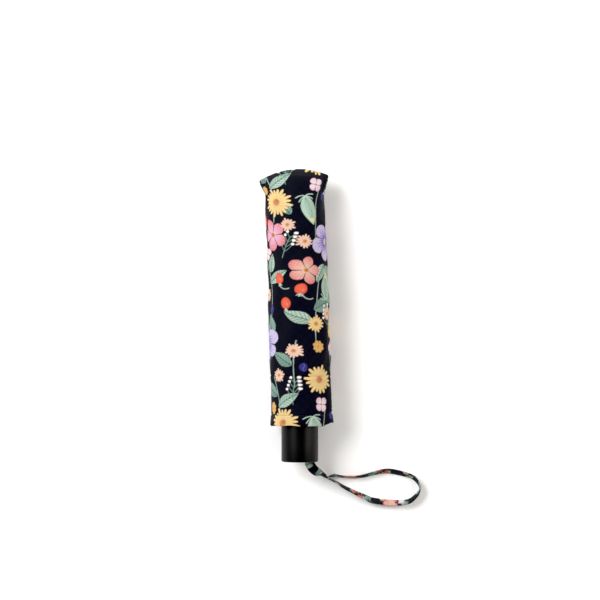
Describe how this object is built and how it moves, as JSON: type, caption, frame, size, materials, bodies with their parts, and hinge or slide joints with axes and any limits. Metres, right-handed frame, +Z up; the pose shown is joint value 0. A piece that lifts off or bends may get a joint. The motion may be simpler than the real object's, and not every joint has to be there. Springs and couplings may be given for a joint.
{
  "type": "folding umbrella",
  "caption": "Closed compact folding umbrella in a floral print fabric sleeve, with a short round black handle and a matching ribbon wrist strap.",
  "frame": {"origin": "on the sleeve's flat underside, directly below the shaft's axis", "axes": "+Y along the shaft from the handle to the tip, +Z up away from the surface it lies on, +X to the side the wrist strap lies on"},
  "size_m": [0.1572, 0.3277, 0.048],
  "materials": {
    "handle_black": "satin",
    "hub_black": "satin",
    "bright_steel": "satin",
    "plated_steel": "satin",
    "sleeve_fabric": "printed weave",
    "canopy_fabric": "printed weave",
    "strap_ribbon": "printed ribbon"
  },
  "bodies": {
    "root": {"handle_grip": "handle_black", "handle_end_cap": "handle_black", "strap_anchor_pin": "bright_steel", "lower_tube": "bright_steel", "wrist_strap_tab": "strap_ribbon", "wrist_strap_loop": "strap_ribbon"},
    "middle_shaft": {"middle_tube": "bright_steel"},
    "top_shaft": {"top_tube": "bright_steel", "top_notch": "hub_black", "top_cap": "handle_black"},
    "catch": {"runner_catch": "plated_steel"},
    "runner": {"runner": "hub_black"},
    "sleeve": {"storage_sleeve": "sleeve_fabric"},
    "rib_inner_1": {"rib_inner_1": "bright_steel"},
    "rib_middle_1": {"rib_middle_1": "bright_steel"},
    "rib_outer_1": {"rib_outer_1": "bright_steel"},
    "stretcher_1": {"stretcher_1": "plated_steel"},
    "canopy_inner_1": {"canopy_inner_1": "canopy_fabric"},
    "canopy_middle_1": {"canopy_middle_1": "canopy_fabric"},
    "canopy_outer_1": {"canopy_outer_1": "canopy_fabric"},
    "rib_inner_2": {"rib_inner_2": "bright_steel"},
    "rib_middle_2": {"rib_middle_2": "bright_steel"},
    "rib_outer_2": {"rib_outer_2": "bright_steel"},
    "stretcher_2": {"stretcher_2": "plated_steel"},
    "canopy_inner_2": {"canopy_inner_2": "canopy_fabric"},
    "canopy_middle_2": {"canopy_middle_2": "canopy_fabric"},
    "canopy_outer_2": {"canopy_outer_2": "canopy_fabric"},
    "rib_inner_3": {"rib_inner_3": "bright_steel"},
    "rib_middle_3": {"rib_middle_3": "bright_steel"},
    "rib_outer_3": {"rib_outer_3": "bright_steel"},
    "stretcher_3": {"stretcher_3": "plated_steel"},
    "canopy_inner_3": {"canopy_inner_3": "canopy_fabric"},
    "canopy_middle_3": {"canopy_middle_3": "canopy_fabric"},
    "canopy_outer_3": {"canopy_outer_3": "canopy_fabric"},
    "rib_inner_4": {"rib_inner_4": "bright_steel"},
    "rib_middle_4": {"rib_middle_4": "bright_steel"},
    "rib_outer_4": {"rib_outer_4": "bright_steel"},
    "stretcher_4": {"stretcher_4": "plated_steel"},
    "canopy_inner_4": {"canopy_inner_4": "canopy_fabric"},
    "canopy_middle_4": {"canopy_middle_4": "canopy_fabric"},
    "canopy_outer_4": {"canopy_outer_4": "canopy_fabric"},
    "rib_inner_5": {"rib_inner_5": "bright_steel"},
    "rib_middle_5": {"rib_middle_5": "bright_steel"},
    "rib_outer_5": {"rib_outer_5": "bright_steel"},
    "stretcher_5": {"stretcher_5": "plated_steel"},
    "canopy_inner_5": {"canopy_inner_5": "canopy_fabric"},
    "canopy_middle_5": {"canopy_middle_5": "canopy_fabric"},
    "canopy_outer_5": {"canopy_outer_5": "canopy_fabric"},
    "rib_inner_6": {"rib_inner_6": "bright_steel"},
    "rib_middle_6": {"rib_middle_6": "bright_steel"},
    "rib_outer_6": {"rib_outer_6": "bright_steel"},
    "stretcher_6": {"stretcher_6": "plated_steel"},
    "canopy_inner_6": {"canopy_inner_6": "canopy_fabric"},
    "canopy_middle_6": {"canopy_middle_6": "canopy_fabric"},
    "canopy_outer_6": {"canopy_outer_6": "canopy_fabric"}
  },
  "joints": [
    {"name": "shaft_extend", "type": "slide", "parent": "root", "child": "middle_shaft", "axis": [0, 1, 0], "range_m": [0, 0.112]},
    {"name": "shaft_extend_top", "type": "slide", "parent": "middle_shaft", "child": "top_shaft", "axis": [0, 1, 0], "range_m": [0, 0.112]},
    {"name": "canopy_open", "type": "slide", "parent": "top_shaft", "child": "runner", "axis": [0, 1, 0], "range_m": [0, 0.1439], "deforming": ["runner_catch"]},
    {"name": "sleeve_off", "type": "slide", "parent": "top_shaft", "child": "sleeve", "axis": [0, 1, 0], "range_m": [0, 0.285], "deforming": ["storage_sleeve"]},
    {"name": "catch_press", "type": "hinge", "parent": "top_shaft", "child": "catch", "pos_m": [0, 0.098, 0.029], "axis": [1, 0, 0], "range_deg": [0, 2], "stiffness_Nm_per_rad": 0.02},
    {"name": "rib_inner_1_turn", "type": "hinge", "parent": "top_shaft", "child": "rib_inner_1", "pos_m": [0.00975, 0.12, 0.024], "axis": [0, 0, 1], "range_deg": [0, 76]},
    {"name": "rib_middle_1_turn", "type": "hinge", "parent": "rib_inner_1", "child": "rib_middle_1", "pos_m": [0.011, -0.065, 0.024], "axis": [0, 0, 1], "range_deg": [-190, 0]},
    {"name": "rib_outer_1_turn", "type": "hinge", "parent": "rib_middle_1", "child": "rib_outer_1", "pos_m": [0.0135, 0.103, 0.024], "axis": [0, 0, 1], "range_deg": [0, 166]},
    {"name": "stretcher_1_turn", "type": "hinge", "parent": "runner", "child": "stretcher_1", "pos_m": [0.00975, -0.07, 0.024], "axis": [0, 0, 1], "range_deg": [-75.9, 0]},
    {"name": "canopy_inner_1_fan", "type": "hinge", "parent": "rib_inner_1", "child": "canopy_inner_1", "pos_m": [-0.02526, 0.12132, 0.024], "axis": [-0.9703, -0.2419, 0], "range_deg": [0, 60], "deforming": ["canopy_inner_1"]},
    {"name": "canopy_middle_1_fan", "type": "hinge", "parent": "rib_middle_1", "child": "canopy_middle_1", "pos_m": [0.1105, -0.22819, 0.024], "axis": [0.9135, 0.4067, 0], "range_deg": [0, 60], "deforming": ["canopy_middle_1"]},
    {"name": "canopy_outer_1_fan", "type": "hinge", "parent": "rib_outer_1", "child": "canopy_outer_1", "pos_m": [-0.24572, 0.3345, 0.024], "axis": [-0.788, -0.6157, 0], "range_deg": [0, 60], "deforming": ["canopy_outer_1"]},
    {"name": "rib_inner_2_turn", "type": "hinge", "parent": "top_shaft", "child": "rib_inner_2", "pos_m": [0.00487, 0.12, 0.03244], "axis": [-0.866, 0, 0.5], "range_deg": [0, 76]},
    {"name": "rib_middle_2_turn", "type": "hinge", "parent": "rib_inner_2", "child": "rib_middle_2", "pos_m": [0.0055, -0.065, 0.03353], "axis": [-0.866, 0, 0.5], "range_deg": [-190, 0]},
    {"name": "rib_outer_2_turn", "type": "hinge", "parent": "rib_middle_2", "child": "rib_outer_2", "pos_m": [0.00675, 0.103, 0.03569], "axis": [-0.866, 0, 0.5], "range_deg": [0, 166]},
    {"name": "stretcher_2_turn", "type": "hinge", "parent": "runner", "child": "stretcher_2", "pos_m": [0.00487, -0.07, 0.03244], "axis": [-0.866, 0, 0.5], "range_deg": [-75.9, 0]},
    {"name": "canopy_inner_2_fan", "type": "hinge", "parent": "rib_inner_2", "child": "canopy_inner_2", "pos_m": [-0.01263, 0.12132, 0.00212], "axis": [-0.4851, -0.2419, -0.8403], "range_deg": [0, 60], "deforming": ["canopy_inner_2"]},
    {"name": "canopy_middle_2_fan", "type": "hinge", "parent": "rib_middle_2", "child": "canopy_middle_2", "pos_m": [0.05525, -0.22819, 0.1197], "axis": [0.4568, 0.4067, 0.7912], "range_deg": [0, 60], "deforming": ["canopy_middle_2"]},
    {"name": "canopy_outer_2_fan", "type": "hinge", "parent": "rib_outer_2", "child": "canopy_outer_2", "pos_m": [-0.12286, 0.3345, -0.1888], "axis": [-0.394, -0.6157, -0.6824], "range_deg": [0, 60], "deforming": ["canopy_outer_2"]},
    {"name": "rib_inner_3_turn", "type": "hinge", "parent": "top_shaft", "child": "rib_inner_3", "pos_m": [-0.00487, 0.12, 0.03244], "axis": [-0.866, 0, -0.5], "range_deg": [0, 76]},
    {"name": "rib_middle_3_turn", "type": "hinge", "parent": "rib_inner_3", "child": "rib_middle_3", "pos_m": [-0.0055, -0.065, 0.03353], "axis": [-0.866, 0, -0.5], "range_deg": [-190, 0]},
    {"name": "rib_outer_3_turn", "type": "hinge", "parent": "rib_middle_3", "child": "rib_outer_3", "pos_m": [-0.00675, 0.103, 0.03569], "axis": [-0.866, 0, -0.5], "range_deg": [0, 166]},
    {"name": "stretcher_3_turn", "type": "hinge", "parent": "runner", "child": "stretcher_3", "pos_m": [-0.00487, -0.07, 0.03244], "axis": [-0.866, 0, -0.5], "range_deg": [-75.9, 0]},
    {"name": "canopy_inner_3_fan", "type": "hinge", "parent": "rib_inner_3", "child": "canopy_inner_3", "pos_m": [0.01263, 0.12132, 0.00212], "axis": [0.4851, -0.2419, -0.8403], "range_deg": [0, 60], "deforming": ["canopy_inner_3"]},
    {"name": "canopy_middle_3_fan", "type": "hinge", "parent": "rib_middle_3", "child": "canopy_middle_3", "pos_m": [-0.05525, -0.22819, 0.1197], "axis": [-0.4568, 0.4067, 0.7912], "range_deg": [0, 60], "deforming": ["canopy_middle_3"]},
    {"name": "canopy_outer_3_fan", "type": "hinge", "parent": "rib_outer_3", "child": "canopy_outer_3", "pos_m": [0.12286, 0.3345, -0.1888], "axis": [0.394, -0.6157, -0.6824], "range_deg": [0, 60], "deforming": ["canopy_outer_3"]},
    {"name": "rib_inner_4_turn", "type": "hinge", "parent": "top_shaft", "child": "rib_inner_4", "pos_m": [-0.00975, 0.12, 0.024], "axis": [0, 0, -1], "range_deg": [0, 76]},
    {"name": "rib_middle_4_turn", "type": "hinge", "parent": "rib_inner_4", "child": "rib_middle_4", "pos_m": [-0.011, -0.065, 0.024], "axis": [0, 0, -1], "range_deg": [-190, 0]},
    {"name": "rib_outer_4_turn", "type": "hinge", "parent": "rib_middle_4", "child": "rib_outer_4", "pos_m": [-0.0135, 0.103, 0.024], "axis": [0, 0, -1], "range_deg": [0, 166]},
    {"name": "stretcher_4_turn", "type": "hinge", "parent": "runner", "child": "stretcher_4", "pos_m": [-0.00975, -0.07, 0.024], "axis": [0, 0, -1], "range_deg": [-75.9, 0]},
    {"name": "canopy_inner_4_fan", "type": "hinge", "parent": "rib_inner_4", "child": "canopy_inner_4", "pos_m": [0.02526, 0.12132, 0.024], "axis": [0.9703, -0.2419, 0], "range_deg": [0, 60], "deforming": ["canopy_inner_4"]},
    {"name": "canopy_middle_4_fan", "type": "hinge", "parent": "rib_middle_4", "child": "canopy_middle_4", "pos_m": [-0.1105, -0.22819, 0.024], "axis": [-0.9135, 0.4067, 0], "range_deg": [0, 60], "deforming": ["canopy_middle_4"]},
    {"name": "canopy_outer_4_fan", "type": "hinge", "parent": "rib_outer_4", "child": "canopy_outer_4", "pos_m": [0.24572, 0.3345, 0.024], "axis": [0.788, -0.6157, 0], "range_deg": [0, 60], "deforming": ["canopy_outer_4"]},
    {"name": "rib_inner_5_turn", "type": "hinge", "parent": "top_shaft", "child": "rib_inner_5", "pos_m": [-0.00487, 0.12, 0.01556], "axis": [0.866, 0, -0.5], "range_deg": [0, 76]},
    {"name": "rib_middle_5_turn", "type": "hinge", "parent": "rib_inner_5", "child": "rib_middle_5", "pos_m": [-0.0055, -0.065, 0.01447], "axis": [0.866, 0, -0.5], "range_deg": [-190, 0]},
    {"name": "rib_outer_5_turn", "type": "hinge", "parent": "rib_middle_5", "child": "rib_outer_5", "pos_m": [-0.00675, 0.103, 0.01231], "axis": [0.866, 0, -0.5], "range_deg": [0, 166]},
    {"name": "stretcher_5_turn", "type": "hinge", "parent": "runner", "child": "stretcher_5", "pos_m": [-0.00487, -0.07, 0.01556], "axis": [0.866, 0, -0.5], "range_deg": [-75.9, 0]},
    {"name": "canopy_inner_5_fan", "type": "hinge", "parent": "rib_inner_5", "child": "canopy_inner_5", "pos_m": [0.01263, 0.12132, 0.04588], "axis": [0.4851, -0.2419, 0.8403], "range_deg": [0, 60], "deforming": ["canopy_inner_5"]},
    {"name": "canopy_middle_5_fan", "type": "hinge", "parent": "rib_middle_5", "child": "canopy_middle_5", "pos_m": [-0.05525, -0.22819, -0.0717], "axis": [-0.4568, 0.4067, -0.7912], "range_deg": [0, 60], "deforming": ["canopy_middle_5"]},
    {"name": "canopy_outer_5_fan", "type": "hinge", "parent": "rib_outer_5", "child": "canopy_outer_5", "pos_m": [0.12286, 0.3345, 0.2368], "axis": [0.394, -0.6157, 0.6824], "range_deg": [0, 60], "deforming": ["canopy_outer_5"]},
    {"name": "rib_inner_6_turn", "type": "hinge", "parent": "top_shaft", "child": "rib_inner_6", "pos_m": [0.00487, 0.12, 0.01556], "axis": [0.866, 0, 0.5], "range_deg": [0, 76]},
    {"name": "rib_middle_6_turn", "type": "hinge", "parent": "rib_inner_6", "child": "rib_middle_6", "pos_m": [0.0055, -0.065, 0.01447], "axis": [0.866, 0, 0.5], "range_deg": [-190, 0]},
    {"name": "rib_outer_6_turn", "type": "hinge", "parent": "rib_middle_6", "child": "rib_outer_6", "pos_m": [0.00675, 0.103, 0.01231], "axis": [0.866, 0, 0.5], "range_deg": [0, 166]},
    {"name": "stretcher_6_turn", "type": "hinge", "parent": "runner", "child": "stretcher_6", "pos_m": [0.00487, -0.07, 0.01556], "axis": [0.866, 0, 0.5], "range_deg": [-75.9, 0]},
    {"name": "canopy_inner_6_fan", "type": "hinge", "parent": "rib_inner_6", "child": "canopy_inner_6", "pos_m": [-0.01263, 0.12132, 0.04588], "axis": [-0.4851, -0.2419, 0.8403], "range_deg": [0, 60], "deforming": ["canopy_inner_6"]},
    {"name": "canopy_middle_6_fan", "type": "hinge", "parent": "rib_middle_6", "child": "canopy_middle_6", "pos_m": [0.05525, -0.22819, -0.0717], "axis": [0.4568, 0.4067, -0.7912], "range_deg": [0, 60], "deforming": ["canopy_middle_6"]},
    {"name": "canopy_outer_6_fan", "type": "hinge", "parent": "rib_outer_6", "child": "canopy_outer_6", "pos_m": [-0.12286, 0.3345, 0.2368], "axis": [-0.394, -0.6157, 0.6824], "range_deg": [0, 60], "deforming": ["canopy_outer_6"]}
  ],
  "couplings": [
    {"joint": "shaft_extend_top", "follows": "shaft_extend", "ratio": 1},
    {"joint": "sleeve_off", "follows": "canopy_open", "ratio": 1.9803},
    {"joint": "rib_inner_1_turn", "follows": "canopy_open", "rad_per_m": 9.2169},
    {"joint": "rib_middle_1_turn", "follows": "canopy_open", "rad_per_m": -23.042},
    {"joint": "rib_outer_1_turn", "follows": "canopy_open", "rad_per_m": 20.132},
    {"joint": "stretcher_1_turn", "follows": "canopy_open", "rad_per_m": -9.2048},
    {"joint": "canopy_inner_1_fan", "follows": "canopy_open", "rad_per_m": 7.2765},
    {"joint": "canopy_middle_1_fan", "follows": "canopy_open", "rad_per_m": 7.2765},
    {"joint": "canopy_outer_1_fan", "follows": "canopy_open", "rad_per_m": 7.2765},
    {"joint": "rib_inner_2_turn", "follows": "canopy_open", "rad_per_m": 9.2169},
    {"joint": "rib_middle_2_turn", "follows": "canopy_open", "rad_per_m": -23.042},
    {"joint": "rib_outer_2_turn", "follows": "canopy_open", "rad_per_m": 20.132},
    {"joint": "stretcher_2_turn", "follows": "canopy_open", "rad_per_m": -9.2048},
    {"joint": "canopy_inner_2_fan", "follows": "canopy_open", "rad_per_m": 7.2765},
    {"joint": "canopy_middle_2_fan", "follows": "canopy_open", "rad_per_m": 7.2765},
    {"joint": "canopy_outer_2_fan", "follows": "canopy_open", "rad_per_m": 7.2765},
    {"joint": "rib_inner_3_turn", "follows": "canopy_open", "rad_per_m": 9.2169},
    {"joint": "rib_middle_3_turn", "follows": "canopy_open", "rad_per_m": -23.042},
    {"joint": "rib_outer_3_turn", "follows": "canopy_open", "rad_per_m": 20.132},
    {"joint": "stretcher_3_turn", "follows": "canopy_open", "rad_per_m": -9.2048},
    {"joint": "canopy_inner_3_fan", "follows": "canopy_open", "rad_per_m": 7.2765},
    {"joint": "canopy_middle_3_fan", "follows": "canopy_open", "rad_per_m": 7.2765},
    {"joint": "canopy_outer_3_fan", "follows": "canopy_open", "rad_per_m": 7.2765},
    {"joint": "rib_inner_4_turn", "follows": "canopy_open", "rad_per_m": 9.2169},
    {"joint": "rib_middle_4_turn", "follows": "canopy_open", "rad_per_m": -23.042},
    {"joint": "rib_outer_4_turn", "follows": "canopy_open", "rad_per_m": 20.132},
    {"joint": "stretcher_4_turn", "follows": "canopy_open", "rad_per_m": -9.2048},
    {"joint": "canopy_inner_4_fan", "follows": "canopy_open", "rad_per_m": 7.2765},
    {"joint": "canopy_middle_4_fan", "follows": "canopy_open", "rad_per_m": 7.2765},
    {"joint": "canopy_outer_4_fan", "follows": "canopy_open", "rad_per_m": 7.2765},
    {"joint": "rib_inner_5_turn", "follows": "canopy_open", "rad_per_m": 9.2169},
    {"joint": "rib_middle_5_turn", "follows": "canopy_open", "rad_per_m": -23.042},
    {"joint": "rib_outer_5_turn", "follows": "canopy_open", "rad_per_m": 20.132},
    {"joint": "stretcher_5_turn", "follows": "canopy_open", "rad_per_m": -9.2048},
    {"joint": "canopy_inner_5_fan", "follows": "canopy_open", "rad_per_m": 7.2765},
    {"joint": "canopy_middle_5_fan", "follows": "canopy_open", "rad_per_m": 7.2765},
    {"joint": "canopy_outer_5_fan", "follows": "canopy_open", "rad_per_m": 7.2765},
    {"joint": "rib_inner_6_turn", "follows": "canopy_open", "rad_per_m": 9.2169},
    {"joint": "rib_middle_6_turn", "follows": "canopy_open", "rad_per_m": -23.042},
    {"joint": "rib_outer_6_turn", "follows": "canopy_open", "rad_per_m": 20.132},
    {"joint": "stretcher_6_turn", "follows": "canopy_open", "rad_per_m": -9.2048},
    {"joint": "canopy_inner_6_fan", "follows": "canopy_open", "rad_per_m": 7.2765},
    {"joint": "canopy_middle_6_fan", "follows": "canopy_open", "rad_per_m": 7.2765},
    {"joint": "canopy_outer_6_fan", "follows": "canopy_open", "rad_per_m": 7.2765}
  ]
}
